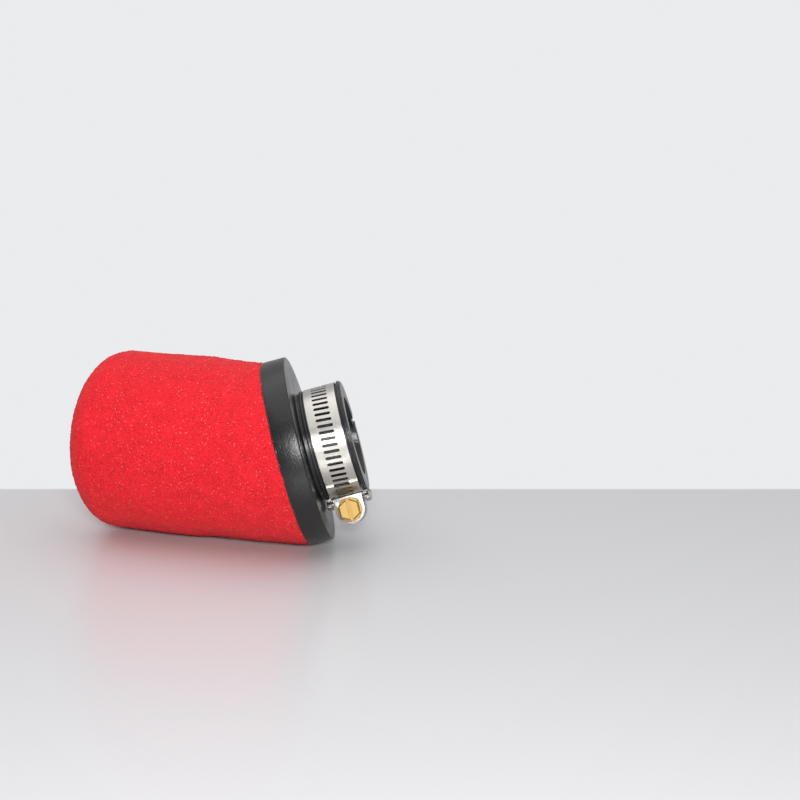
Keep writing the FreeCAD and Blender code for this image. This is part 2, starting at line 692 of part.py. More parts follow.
fill_sheet()
sub_parts = build()
check(sub_parts)
os.makedirs("parts", exist_ok=True)
for sub_part in sub_parts:
    sub_part.Shape.exportStep("parts/%s.step" % sub_part.Label)
    box = sub_part.Shape.BoundBox
    print("%-18s %9.1f mm3  x %.1f to %.1f" % (sub_part.Label, sub_part.Shape.Volume, box.XMin, box.XMax))
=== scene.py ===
"""Looks of the clamp-on foam pod air filter, lying on a pale table."""
import bmesh
import bpy
import json
import math
from mathutils import Matrix, Vector


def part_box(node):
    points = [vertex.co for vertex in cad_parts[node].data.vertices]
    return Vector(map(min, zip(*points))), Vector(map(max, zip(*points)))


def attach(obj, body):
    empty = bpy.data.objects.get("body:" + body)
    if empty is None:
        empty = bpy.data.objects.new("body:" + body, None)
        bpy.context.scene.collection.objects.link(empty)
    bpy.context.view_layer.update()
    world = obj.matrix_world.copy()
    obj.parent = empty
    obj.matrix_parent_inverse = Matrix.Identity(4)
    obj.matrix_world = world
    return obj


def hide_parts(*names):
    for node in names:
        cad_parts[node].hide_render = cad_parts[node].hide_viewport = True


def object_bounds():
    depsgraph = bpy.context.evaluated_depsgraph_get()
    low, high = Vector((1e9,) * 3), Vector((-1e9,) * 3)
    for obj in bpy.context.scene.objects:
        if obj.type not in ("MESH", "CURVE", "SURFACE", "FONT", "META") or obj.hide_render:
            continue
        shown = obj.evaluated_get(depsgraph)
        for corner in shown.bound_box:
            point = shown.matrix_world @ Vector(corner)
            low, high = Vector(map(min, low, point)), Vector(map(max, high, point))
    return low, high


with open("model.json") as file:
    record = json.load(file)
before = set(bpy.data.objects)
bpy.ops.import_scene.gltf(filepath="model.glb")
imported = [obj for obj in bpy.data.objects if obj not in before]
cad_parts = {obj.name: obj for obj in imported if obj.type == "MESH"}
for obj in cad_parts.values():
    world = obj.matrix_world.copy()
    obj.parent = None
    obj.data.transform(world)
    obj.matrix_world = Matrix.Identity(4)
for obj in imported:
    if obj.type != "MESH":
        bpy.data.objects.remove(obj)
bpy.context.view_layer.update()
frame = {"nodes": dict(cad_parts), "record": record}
bpy.ops.object.select_all(action="DESELECT")

# ---------------------------------------------------------------------------------------------
# Foam sleeve: the red oiled pod that cleans the air, cut from open-cell polyurethane with a
# rounded, slightly domed end. Its slanted open end is glued flat to the back of the rubber
# flange. Rings are extruded along its axis, bridged to the slanted edge, then roughened.
# ---------------------------------------------------------------------------------------------
FOAM_SIDES = 88
SKIN_BASE = 0.03745
SKIN_JOIN = 0.03648
SKIN_END = 0.03641
SKIN_JOIN_PLACE = 0.024
SKIN_CORNER_PLACE = 0.0814
SKIN_DOME = 0.003
SKIN_ROUND = 0.0105
LINING_BASE = 0.02885
LINING_JOIN = 0.0279
LINING_END = 0.0278
LINING_TOP = 0.0714
LINING_ROUND = 0.005
GLUE_HALF = 0.00025
SEAM_WAVE = 0.00045
SEAM_TEAR = 0.00034
EASE_LOW = 0.010
EASE_HIGH = 0.034
EASE_RADIUS = 0.0325
EASE_OFF_BASE = 0.004
SEAM_TOP = 0.0290
SEAM_RADIUS = 0.0363
SWELL_GRAIN = 0.017
SWELL_DEPTH = 0.0008
TEAR_GRAIN = 0.0009
TEAR_DEPTH = 0.0008


def middle(node):
    """Middle of a CAD node's box."""
    low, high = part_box(node)
    return (low + high) / 2


def joint(name):
    """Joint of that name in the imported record."""
    return next(item for item in frame["record"]["behaviour"]["joints"] if item["name"] == name)


neck_axis = Vector(joint("clamp_turn")["axis"]).normalized()
foam_axis = (middle("cage_hoop_last") - middle("cage_hoop_first")).normalized()
lean = neck_axis.angle(foam_axis)
lean_side = (foam_axis - neck_axis * math.cos(lean)).normalized()


def frame_at(place, across, axis):
    """Matrix that takes +Z to an axis and +X to the direction nearest across, at a place."""
    aside = axis.cross(across).normalized()
    across = aside.cross(axis)
    turn = Matrix((across, aside, axis)).transposed().to_4x4()
    return Matrix.Translation(place) @ turn


foam_frame = frame_at(middle("glue_layer") + neck_axis * GLUE_HALF, lean_side, foam_axis)
neck_frame = frame_at(Vector((0, 0, 0)), lean_side, neck_axis)


def settle(piece, place):
    """Lay a finished piece in its frame and leave its object at the origin."""
    bpy.ops.object.mode_set(mode="OBJECT")
    piece.matrix_world = place
    bpy.ops.object.transform_apply(location=True, rotation=True, scale=True)


def pick(piece, wanted):
    """Select the vertices of the edited piece whose place passes a test, and nothing else."""
    mesh = bmesh.from_edit_mesh(piece.data)
    for face in mesh.faces:
        face.select = False
    for edge in mesh.edges:
        edge.select = False
    for vertex in mesh.verts:
        vertex.select = wanted(vertex.co)
    mesh.select_flush(True)
    bmesh.update_edit_mesh(piece.data)


def grow_rings(start_radius, start_height, rings):
    """Extrude the selected ring through further (radius, height) rings along +Z."""
    radius, height = start_radius, start_height
    for next_radius, next_height in rings:
        lift = (0, 0, next_height - height)
        bpy.ops.mesh.extrude_region_move(TRANSFORM_OT_translate={"value": lift})
        factor = next_radius / radius
        centre = (0, 0, next_height)
        bpy.ops.transform.resize(value=(factor, factor, 1), center_override=centre)
        radius, height = next_radius, next_height


def even_rings(first, last, count):
    """Evenly spaced (radius, height) rings after the first, up to the last."""
    steps = [(index + 1) / count for index in range(count)]
    return [(first[0] + (last[0] - first[0]) * step, first[1] + (last[1] - first[1]) * step)
            for step in steps]


def domed_end(radius, corner, rounding, dome, count, flat_count):
    """Rings round the corner of a foam end (count) and in over its dome (flat_count - 1)."""
    rings = []
    for index in range(1, count + 1):
        turn = math.pi / 2 * index / count
        across = radius - rounding + rounding * math.cos(turn)
        rise = dome * (1 - (across / radius) ** 2)
        rings.append((across, corner - rounding + rounding * math.sin(turn) + rise))
    flat = radius - rounding
    for index in range(1, flat_count):
        across = flat * (1 - index / flat_count)
        rings.append((across, corner + dome * (1 - (across / radius) ** 2)))
    return rings


bpy.ops.mesh.primitive_circle_add(vertices=FOAM_SIDES, radius=SKIN_JOIN,
                                  location=(0, 0, SKIN_JOIN_PLACE))
foam_sleeve = bpy.context.object
foam_sleeve.name = "foam_sleeve"
bpy.ops.object.transform_apply(location=True, rotation=True, scale=True)
bpy.ops.object.mode_set(mode="EDIT")
bpy.ops.mesh.select_all(action="SELECT")
side_start = (SKIN_JOIN, SKIN_JOIN_PLACE)
side_end = (SKIN_END, SKIN_CORNER_PLACE - SKIN_ROUND)
side_rings = even_rings(side_start, side_end, 22)
end_rings = domed_end(SKIN_END, SKIN_CORNER_PLACE, SKIN_ROUND, SKIN_DOME,
                      count=8, flat_count=10)
grow_rings(SKIN_JOIN, SKIN_JOIN_PLACE, side_rings + end_rings)
bpy.ops.mesh.edge_face_add()
bpy.ops.mesh.poke()

bpy.ops.mesh.select_all(action="DESELECT")
bpy.ops.mesh.primitive_circle_add(vertices=FOAM_SIDES, radius=LINING_JOIN,
                                  location=(0, 0, SKIN_JOIN_PLACE))
lining_start = (LINING_JOIN, SKIN_JOIN_PLACE)
lining_end = (LINING_END, LINING_TOP - LINING_ROUND)
lining_rings = even_rings(lining_start, lining_end, 4)
lining_rings += domed_end(LINING_END, LINING_TOP, LINING_ROUND, SKIN_DOME,
                          count=3, flat_count=4)
grow_rings(LINING_JOIN, SKIN_JOIN_PLACE, lining_rings)
bpy.ops.mesh.edge_face_add()
bpy.ops.mesh.poke()


def near_ring(radius, height):
    """Test for a level ring's vertices."""
    return lambda co: abs(co.z - height) < 1e-5 and abs(math.hypot(co.x, co.y) - radius) < 1e-4


def near_slant(radius):
    """Test for the vertices of a ring that lies on the slanted base through the origin."""
    normal = Vector((-math.sin(lean), 0, math.cos(lean)))
    return lambda co: abs(co.dot(normal)) < 1e-5 and abs(co.length - radius) < 1e-4


for base, join, cuts in ((SKIN_BASE, SKIN_JOIN, 11), (LINING_BASE, LINING_JOIN, 3)):
    bpy.ops.mesh.select_all(action="DESELECT")
    bpy.ops.mesh.primitive_circle_add(vertices=FOAM_SIDES, radius=base, location=(0, 0, 0),
                                      rotation=(0, -lean, 0))
    on_base = near_slant(base)
    on_join = near_ring(join, SKIN_JOIN_PLACE)
    pick(foam_sleeve, lambda co: on_base(co) or on_join(co))
    bpy.ops.mesh.bridge_edge_loops(number_cuts=cuts, interpolation="LINEAR")

on_skin = near_slant(SKIN_BASE)
on_lining = near_slant(LINING_BASE)
pick(foam_sleeve, lambda co: on_skin(co) or on_lining(co))
bpy.ops.mesh.bridge_edge_loops(number_cuts=3, interpolation="LINEAR")
bpy.ops.mesh.select_all(action="SELECT")
bpy.ops.mesh.remove_doubles(threshold=1e-6)
bpy.ops.mesh.normals_make_consistent(inside=False)


def near_join(co):
    """Test for the skin round the join of slanted and straight rings, the base's edge left out."""
    off_base = co.z - co.x * math.tan(lean)
    return EASE_LOW < co.z < EASE_HIGH and co.xy.length > EASE_RADIUS and off_base > EASE_OFF_BASE


pick(foam_sleeve, near_join)
bpy.ops.mesh.vertices_smooth(factor=0.5, repeat=24)
pick(foam_sleeve, on_skin)
bpy.ops.transform.edge_crease(value=0.8)
bpy.ops.transform.vertex_random(offset=SEAM_WAVE, uniform=1.0, normal=0.0, seed=4)
settle(foam_sleeve, foam_frame)

finer = foam_sleeve.modifiers.new("Finer", "SUBSURF")
finer.levels = 2
finer.render_levels = 2
bpy.ops.object.modifier_apply(modifier="Finer")


def roughen(piece, name, grain, depth):
    """Push a piece's surface in and out by clouds of that grain, and keep the result."""
    pattern = bpy.data.textures.new(name, "CLOUDS")
    pattern.noise_scale = grain
    push = piece.modifiers.new(name, "DISPLACE")
    push.texture = pattern
    push.texture_coords = "LOCAL"
    push.strength = depth
    bpy.ops.object.modifier_apply(modifier=name)


roughen(foam_sleeve, "SoftSwell", SWELL_GRAIN, SWELL_DEPTH)
roughen(foam_sleeve, "TornCells", TEAR_GRAIN, TEAR_DEPTH)
to_neck = neck_frame.inverted()


def at_seam(co):
    """Test for the vertices of the torn edge along the flange."""
    laid = to_neck @ co
    return laid.z < SEAM_TOP and laid.xy.length > SEAM_RADIUS


bpy.ops.object.mode_set(mode="EDIT")
pick(foam_sleeve, at_seam)
bpy.ops.transform.vertex_random(offset=SEAM_TEAR, uniform=1.0, normal=0.0, seed=9)
bpy.ops.object.mode_set(mode="OBJECT")
bpy.ops.object.shade_smooth()


def node_in(tree, kind, settings=None, **sockets):
    """Node of a kind, with its settings, and each socket given a value or another node's output."""
    node = tree.nodes.new(kind)
    for name, value in (settings or {}).items():
        setattr(node, name, value)
    for name, value in sockets.items():
        key = int(name[1:]) if name[1:].isdigit() else name.replace("_", " ")
        socket = node.inputs[key]
        if isinstance(value, bpy.types.NodeSocket):
            tree.links.new(value, socket)
        else:
            socket.default_value = value
    return node


def effect(name, inputs, outputs):
    """Empty node group with named inputs (kind, start value) and outputs (kind)."""
    tree = bpy.data.node_groups.new(name, "ShaderNodeTree")
    for label, (kind, value) in inputs.items():
        socket = tree.interface.new_socket(label, in_out="INPUT", socket_type="NodeSocket" + kind)
        if value is not None:
            socket.default_value = value
    for label, kind in outputs.items():
        tree.interface.new_socket(label, in_out="OUTPUT", socket_type="NodeSocket" + kind)
    return tree, tree.nodes.new("NodeGroupInput"), tree.nodes.new("NodeGroupOutput")


# Flecks: a share of small scattered cells stand out, each as a round-edged dot.
DOT_EDGE = 0.16

flecks, flecks_in, flecks_out = effect(
    "flecks", {"Place": ("Vector", None), "Scale": ("Float", 1000.0), "Share": ("Float", 0.1),
               "Width": ("Float", 0.4)}, {"Mask": "Float"})
cells = node_in(flecks, "ShaderNodeTexVoronoi", {"feature": "F1"},
                Vector=flecks_in.outputs["Place"], Scale=flecks_in.outputs["Scale"])
parted = node_in(flecks, "ShaderNodeSeparateColor", Color=cells.outputs["Color"])
chosen = node_in(flecks, "ShaderNodeMath", {"operation": "LESS_THAN"},
                 _0=parted.outputs["Red"], _1=flecks_in.outputs["Share"])
inside = node_in(flecks, "ShaderNodeMath", {"operation": "SUBTRACT", "use_clamp": True},
                 _0=flecks_in.outputs["Width"], _1=cells.outputs["Distance"])
firm = node_in(flecks, "ShaderNodeMath", {"operation": "DIVIDE", "use_clamp": True},
               _0=inside.outputs[0], _1=DOT_EDGE)
dots = node_in(flecks, "ShaderNodeMath", {"operation": "MULTIPLY"},
               _0=chosen.outputs[0], _1=firm.outputs[0])
flecks.links.new(dots.outputs[0], flecks_out.inputs["Mask"])

# Foam cells: open bubbles of two sizes with thin walls between them, as a height.
SMALL_CELL_RATIO = 2.3
SMALL_CELL_SHARE = 0.6

bubbles, bubbles_in, bubbles_out = effect(
    "foam_cells", {"Place": ("Vector", None), "Scale": ("Float", 1400.0)}, {"Height": "Float"})
large = node_in(bubbles, "ShaderNodeTexVoronoi", {"feature": "F1"},
                Vector=bubbles_in.outputs["Place"], Scale=bubbles_in.outputs["Scale"])
finer_scale = node_in(bubbles, "ShaderNodeMath", {"operation": "MULTIPLY"},
                      _0=bubbles_in.outputs["Scale"], _1=SMALL_CELL_RATIO)
small = node_in(bubbles, "ShaderNodeTexNoise", Vector=bubbles_in.outputs["Place"],
                Scale=finer_scale.outputs[0], Detail=2.0)
walls = node_in(bubbles, "ShaderNodeMath", {"operation": "MULTIPLY_ADD"},
                _0=small.outputs[0], _1=SMALL_CELL_SHARE, _2=large.outputs["Distance"])
bubbles.links.new(walls.outputs[0], bubbles_out.inputs["Height"])


def new_finish(name):
    """Material with a Principled shader; returns it, its tree, shader and Object coordinates."""
    finish = bpy.data.materials.new(name)
    finish.use_nodes = True
    tree = finish.node_tree
    shader = tree.nodes["Principled BSDF"]
    place = tree.nodes.new("ShaderNodeTexCoord").outputs["Object"]
    return finish, tree, shader, place


def blend_colour(tree, amount, first, second):
    """Colour that goes from the first to the second by an amount."""
    mix = tree.nodes.new("ShaderNodeMix")
    mix.data_type = "RGBA"
    for socket, value in ((mix.inputs[0], amount), (mix.inputs[6], first), (mix.inputs[7], second)):
        if isinstance(value, bpy.types.NodeSocket):
            tree.links.new(value, socket)
        else:
            socket.default_value = value
    return mix.outputs[2]


def blend_value(tree, amount, low, high):
    """Number that goes from low to high as an amount goes from 0 to 1."""
    return node_in(tree, "ShaderNodeMapRange", _0=amount, _3=low, _4=high).outputs[0]


def bump_into(tree, shader, height, depth, strength):
    """Relief of a height in metres, fed to a shader's normal."""
    bump = node_in(tree, "ShaderNodeBump", Height=height, Distance=depth, Strength=strength)
    tree.links.new(bump.outputs["Normal"], shader.inputs["Normal"])


FOAM_RED = (0.92, 0.024, 0.038, 1)
FOAM_DEEP = (0.60, 0.010, 0.018, 1)
# Deep red of the foam's open pores: painted shade.
FOAM_PAINTED_PORE_SHADE = (0.42, 0.008, 0.014, 1)
# Pale pink of the small dots on the foam's cell walls: a painted highlight.
FOAM_PAINTED_GLINT = (1.0, 0.24, 0.25, 1)

red_foam, tree, shader, place = new_finish("oiled_red_foam")
mottle = node_in(tree, "ShaderNodeTexNoise", Vector=place, Scale=210.0, Detail=3.0)
grit = node_in(tree, "ShaderNodeTexNoise", Vector=place, Scale=1900.0, Detail=2.0)
depths = node_in(tree, "ShaderNodeMath", {"operation": "MULTIPLY_ADD"},
                 _0=mottle.outputs[0], _1=0.35, _2=grit.outputs[0])
shade = node_in(tree, "ShaderNodeMapRange", _0=depths.outputs[0], _1=0.82, _2=0.42)
tint = blend_colour(tree, shade.outputs[0], FOAM_RED, FOAM_DEEP)
# Painted shade: a share of small cells darken towards a deeper red, standing in for the shade
# inside the foam's open pores.
painted_pore_shade = node_in(tree, "ShaderNodeGroup", {"node_tree": flecks}, Place=place, Scale=1700.0,
               Share=0.14, Width=0.46)
tint = blend_colour(tree, blend_value(tree, painted_pore_shade.outputs[0], 0.0, 0.75), tint, FOAM_PAINTED_PORE_SHADE)
# Painted highlight: a share of small cells turn pale pink in the base colour as painted glints. The
# same cells are also given a lower roughness.
glossy_cells_painted_glints = node_in(tree, "ShaderNodeGroup", {"node_tree": flecks}, Place=place, Scale=1900.0,
                 Share=0.055, Width=0.44)
tint = blend_colour(tree, blend_value(tree, glossy_cells_painted_glints.outputs[0], 0.0, 0.85), tint, FOAM_PAINTED_GLINT)
tree.links.new(tint, shader.inputs["Base Color"])
tree.links.new(blend_value(tree, glossy_cells_painted_glints.outputs[0], 0.92, 0.45), shader.inputs["Roughness"])
open_cells = node_in(tree, "ShaderNodeGroup", {"node_tree": bubbles}, Place=place, Scale=1300.0)
bump_into(tree, shader, open_cells.outputs[0], 0.0003, 0.6)
shader.inputs["Sheen Weight"].default_value = 0.12
shader.inputs["Sheen Roughness"].default_value = 0.5
shader.inputs["Sheen Tint"].default_value = (1.0, 0.42, 0.36, 1)
shader.inputs["Specular IOR Level"].default_value = 0.2
foam_sleeve.data.materials.append(red_foam)
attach(foam_sleeve, "filter")
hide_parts("outer_foam")

# ---------------------------------------------------------------------------------------------
# Adhesive: the glossy dark glue between foam and flange, and the thin bead of it squeezed out
# along the seam when the foam was pressed on. The bead is a ring swept round the flange's back
# edge, uneven in height and width.
# ---------------------------------------------------------------------------------------------
BEAD_RING = 0.0372
BEAD_WIDTH = 0.00042
BEAD_WANDER = 0.0004
BEAD_WANDER_GRAIN = 0.0035

bpy.ops.object.select_all(action="DESELECT")
bpy.ops.mesh.primitive_torus_add(major_radius=BEAD_RING, minor_radius=BEAD_WIDTH,
                                 major_segments=420, minor_segments=12)
glue_bead = bpy.context.object
glue_bead.name = "glue_bead"
settle(glue_bead, Matrix.Translation(middle("glue_layer")) @ neck_frame.to_3x3().to_4x4())
roughen(glue_bead, "BeadWander", BEAD_WANDER_GRAIN, BEAD_WANDER)
bpy.ops.object.shade_smooth()

glue, tree, shader, place = new_finish("dark_adhesive")
streaks = node_in(tree, "ShaderNodeTexNoise", Vector=place, Scale=420.0, Detail=4.0)
glue_tint = blend_colour(tree, streaks.outputs[0], (0.012, 0.011, 0.012, 1),
                         (0.06, 0.03, 0.028, 1))
tree.links.new(glue_tint, shader.inputs["Base Color"])
tree.links.new(blend_value(tree, streaks.outputs[0], 0.1, 0.32), shader.inputs["Roughness"])
bump_into(tree, shader, streaks.outputs[0], 0.0004, 0.5)
glue_bead.data.materials.append(glue)
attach(glue_bead, "filter")


def refinish(node, finish):
    """Give a CAD node one material all over."""
    slots = frame["nodes"][node].material_slots
    if not slots:
        frame["nodes"][node].data.materials.append(finish)
    for slot in slots:
        slot.material = finish


refinish("glue_layer", glue)

# ---------------------------------------------------------------------------------------------
# Rubber flange: one moulding of semi-gloss black rubber, with the wide flange that carries the
# foam and the neck that slips on the intake: lip, band seat, retaining bead and root. Its
# section is extruded ring by ring round the neck's axis, closed, and its edges are rounded.
# ---------------------------------------------------------------------------------------------
RUBBER_SIDES = 256
FACE_DEPTH = 0.0006
LIP_WIDTH = 0.00165
SEAT_END = 0.01583
BEAD_END = 0.01703
NECK_LENGTH = 0.0187
FLANGE_BACK = 0.02785
THROAT_START = 0.02285
BORE_RADIUS = 0.016
FACE_RADIUS = 0.0225
LIP_RADIUS = 0.0230
SEAT_RADIUS = 0.0216
BEAD_RADIUS = 0.0227
ROOT_RADIUS = 0.0219
FLANGE_RADIUS = 0.03765
THROAT_RADIUS = 0.0195
RUBBER_SECTION = [
    (FACE_RADIUS, 0), (FACE_RADIUS, FACE_DEPTH), (LIP_RADIUS, FACE_DEPTH),
    (LIP_RADIUS, LIP_WIDTH), (SEAT_RADIUS, LIP_WIDTH), (SEAT_RADIUS, SEAT_END),
    (BEAD_RADIUS, SEAT_END), (BEAD_RADIUS, BEAD_END), (ROOT_RADIUS, BEAD_END),
    (ROOT_RADIUS, NECK_LENGTH), (FLANGE_RADIUS, NECK_LENGTH), (FLANGE_RADIUS, FLANGE_BACK),
    (THROAT_RADIUS, FLANGE_BACK), (BORE_RADIUS, THROAT_START)]
SMALL_ROUND = 0.00035
RIM_ROUND = 0.0009
ROOT_ROUND = 0.0008
RUBBER_SMOOTH_ANGLE = math.radians(32)
NOTCH_WIDTH = 0.0034
NOTCH_DEPTH = 0.0007
NOTCH_LENGTH = 0.009
NOTCH_MIDDLE = 0.0195
NOTCH_TURN = math.radians(29.5)

bpy.ops.object.select_all(action="DESELECT")
bpy.ops.mesh.primitive_circle_add(vertices=RUBBER_SIDES, radius=BORE_RADIUS, location=(0, 0, 0))
rubber = bpy.context.object
rubber.name = "rubber_moulding"
bpy.ops.object.mode_set(mode="EDIT")
bpy.ops.mesh.select_all(action="SELECT")
grow_rings(BORE_RADIUS, 0, RUBBER_SECTION)
mouth_edge = near_ring(BORE_RADIUS, 0)
throat_edge = near_ring(BORE_RADIUS, THROAT_START)
pick(rubber, lambda co: mouth_edge(co) or throat_edge(co))
bpy.ops.mesh.bridge_edge_loops()
bpy.ops.mesh.select_all(action="SELECT")
bpy.ops.mesh.remove_doubles(threshold=1e-6)
bpy.ops.mesh.normals_make_consistent(inside=False)


def round_rings(piece, spots, width, segments):
    """Bevel the ring edges at the given (radius, height) spots."""
    for radius, height in spots:
        pick(piece, near_ring(radius, height))
        bpy.ops.mesh.bevel(offset=width, segments=segments, offset_type="WIDTH")


small_edges = [(FACE_RADIUS, 0), (LIP_RADIUS, FACE_DEPTH), (LIP_RADIUS, LIP_WIDTH),
               (BEAD_RADIUS, SEAT_END), (BEAD_RADIUS, BEAD_END), (FLANGE_RADIUS, FLANGE_BACK),
               (BORE_RADIUS, 0)]
round_rings(rubber, small_edges, SMALL_ROUND, 3)
round_rings(rubber, [(FLANGE_RADIUS, NECK_LENGTH)], RIM_ROUND, 5)
round_rings(rubber, [(ROOT_RADIUS, NECK_LENGTH)], ROOT_ROUND, 5)
bpy.ops.object.mode_set(mode="OBJECT")

bpy.ops.object.select_all(action="DESELECT")
notch_place = Vector((math.cos(NOTCH_TURN), math.sin(NOTCH_TURN), 0)) * NOTCH_MIDDLE
bpy.ops.mesh.primitive_cube_add(size=1, location=notch_place, rotation=(0, 0, NOTCH_TURN),
                                scale=(NOTCH_LENGTH, NOTCH_WIDTH, 2 * NOTCH_DEPTH))
notch_block = bpy.context.object
bpy.ops.object.transform_apply(location=True, rotation=True, scale=True)
bpy.context.view_layer.objects.active = rubber
cut = rubber.modifiers.new("Notch", "BOOLEAN")
cut.operation = "DIFFERENCE"
cut.solver = "EXACT"
cut.object = notch_block
bpy.ops.object.modifier_apply(modifier="Notch")
bpy.data.objects.remove(notch_block)
rubber.select_set(True)
settle(rubber, neck_frame)
bpy.ops.object.shade_smooth_by_angle(angle=RUBBER_SMOOTH_ANGLE)

black_rubber, tree, shader, place = new_finish("moulded_black_rubber")
cloudy = node_in(tree, "ShaderNodeTexNoise", Vector=place, Scale=130.0, Detail=4.0)
pebble = node_in(tree, "ShaderNodeTexNoise", Vector=place, Scale=1500.0, Detail=3.0)
lint = node_in(tree, "ShaderNodeGroup", {"node_tree": flecks}, Place=place, Scale=420.0,
               Share=0.035, Width=0.16)
rubber_tint = blend_colour(tree, cloudy.outputs[0], (0.004, 0.004, 0.0045, 1),
                           (0.012, 0.011, 0.012, 1))
rubber_tint = blend_colour(tree, blend_value(tree, lint.outputs[0], 0.0, 0.5), rubber_tint,
                           (0.16, 0.15, 0.15, 1))
tree.links.new(rubber_tint, shader.inputs["Base Color"])
tree.links.new(blend_value(tree, cloudy.outputs[0], 0.2, 0.42), shader.inputs["Roughness"])
skin_height = node_in(tree, "ShaderNodeMath", {"operation": "MULTIPLY_ADD"},
                      _0=cloudy.outputs[0], _1=2.2, _2=pebble.outputs[0])
bump_into(tree, shader, skin_height.outputs[0], 0.00018, 0.5)
shader.inputs["Specular IOR Level"].default_value = 0.55
rubber.data.materials.append(black_rubber)
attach(rubber, "filter")
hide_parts("rubber_flange")

# ---------------------------------------------------------------------------------------------
# Inner foam: a finer, darker second sleeve that catches what the red one lets through. It is
# glued inside the red one and shows only through the bore, so the CAD sleeve is kept and gets
# the same cells at a smaller size.
# ---------------------------------------------------------------------------------------------
fine_foam, tree, shader, place = new_finish("fine_dark_foam")
# Painted shade: a share of small cells darken to near black, standing in for the shade inside the
# fine foam's open holes.
fine_painted_hole_shade = node_in(tree, "ShaderNodeGroup", {"node_tree": flecks}, Place=place, Scale=1900.0,
                     Share=0.3, Width=0.5)
fine_tint = blend_colour(tree, fine_painted_hole_shade.outputs[0], (0.030, 0.033, 0.036, 1),
                         (0.006, 0.006, 0.007, 1))
tree.links.new(fine_tint, shader.inputs["Base Color"])
shader.inputs["Roughness"].default_value = 0.95
shader.inputs["Specular IOR Level"].default_value = 0.15
fine_cells = node_in(tree, "ShaderNodeGroup", {"node_tree": bubbles}, Place=place, Scale=2200.0)
bump_into(tree, shader, fine_cells.outputs[0], 0.0003, 0.8)
refinish("inner_foam", fine_foam)

# ---------------------------------------------------------------------------------------------
# Wire cage: ring, hoops and bows of plated wire that keep the foam from being sucked flat. The
# wires are drawn smooth, then welded, which leaves faint lengthwise scores and dull patches; the
# finish here gives dull patches with a faint bump.
# ---------------------------------------------------------------------------------------------
plated_wire, tree, shader, place = new_finish("plated_wire")
dulling = node_in(tree, "ShaderNodeTexNoise", Vector=place, Scale=300.0, Detail=5.0)
wire_tint = blend_colour(tree, dulling.outputs[0], (0.36, 0.36, 0.35, 1), (0.66, 0.66, 0.64, 1))
tree.links.new(wire_tint, shader.inputs["Base Color"])
tree.links.new(blend_value(tree, dulling.outputs[0], 0.5, 0.24), shader.inputs["Roughness"])
bump_into(tree, shader, dulling.outputs[0], 0.0001, 0.4)
shader.inputs["Metallic"].default_value = 1.0
for wire in ("cage_ring", "cage_hoop_first", "cage_hoop_middle", "cage_hoop_last",
             "cage_bow_upper", "cage_bow_lower"):
    refinish(wire, plated_wire)

# ---------------------------------------------------------------------------------------------
# Clamp band, saddle and housing: rolled stainless strip, slotted for the worm and bent to the
# neck. Rolling leaves fine scores along the strip, so the grain runs round the neck's axis.
# ---------------------------------------------------------------------------------------------
STRIP_FINENESS = 9000.0
ALONG_STRIP = 120.0
SADDLE_EASE = 0.00006
BARREL_EASE = 0.00008
MERGE_DISTANCE = 2e-6
FLAT_ANGLE = math.radians(0.6)
EDGE_ANGLE = math.radians(38)
SMOOTH_ANGLE = math.radians(34)

rolled, rolled_in, rolled_out = effect(
    "rolled_strip", {"Place": ("Vector", None), "Fineness": ("Float", STRIP_FINENESS)},
    {"Grain": "Float", "Stain": "Float"})
along_neck = neck_frame.to_3x3().inverted().to_euler()
laid = node_in(rolled, "ShaderNodeMapping", {"vector_type": "POINT"},
               Vector=rolled_in.outputs["Place"], Rotation=along_neck)
apart = node_in(rolled, "ShaderNodeSeparateXYZ", Vector=laid.outputs[0])
squeezed = node_in(rolled, "ShaderNodeMath", {"operation": "MULTIPLY"},
                   _0=apart.outputs["Z"], _1=rolled_in.outputs["Fineness"])
round_about = [node_in(rolled, "ShaderNodeMath", {"operation": "MULTIPLY"},
                       _0=apart.outputs[side], _1=ALONG_STRIP).outputs[0] for side in ("X", "Y")]
stretched = node_in(rolled, "ShaderNodeCombineXYZ", X=round_about[0], Y=round_about[1],
                    Z=squeezed.outputs[0])
scores = node_in(rolled, "ShaderNodeTexNoise", Vector=stretched.outputs[0], Scale=1.0, Detail=3.0)
stains = node_in(rolled, "ShaderNodeTexNoise", Vector=rolled_in.outputs["Place"], Scale=190.0,
                 Detail=5.0)
rolled.links.new(scores.outputs[0], rolled_out.inputs["Grain"])
rolled.links.new(stains.outputs[0], rolled_out.inputs["Stain"])


def steel_finish(name, bright, dull, smooth, rough):
    """Rolled stainless steel between two colours and two roughnesses."""
    finish, tree, shader, place = new_finish(name)
    strip = node_in(tree, "ShaderNodeGroup", {"node_tree": rolled}, Place=place,
                    Fineness=STRIP_FINENESS)
    tint = blend_colour(tree, strip.outputs["Stain"], bright, dull)
    tree.links.new(tint, shader.inputs["Base Color"])
    tree.links.new(blend_value(tree, strip.outputs["Grain"], smooth, rough),
                   shader.inputs["Roughness"])
    bump_into(tree, shader, strip.outputs["Grain"], 0.00004, 0.5)
    shader.inputs["Metallic"].default_value = 1.0
    return finish


band_steel = steel_finish("band_steel", (0.74, 0.72, 0.67, 1), (0.52, 0.50, 0.46, 1), 0.22, 0.42)
# The saddle and barrel take a darker, slightly rougher copy of the band's stainless steel. The
# darker colours are painted shade.
saddle_steel_painted_shade = steel_finish("saddle_steel_painted_shade", (0.48, 0.47, 0.44, 1), (0.30, 0.29, 0.27, 1), 0.3, 0.48)


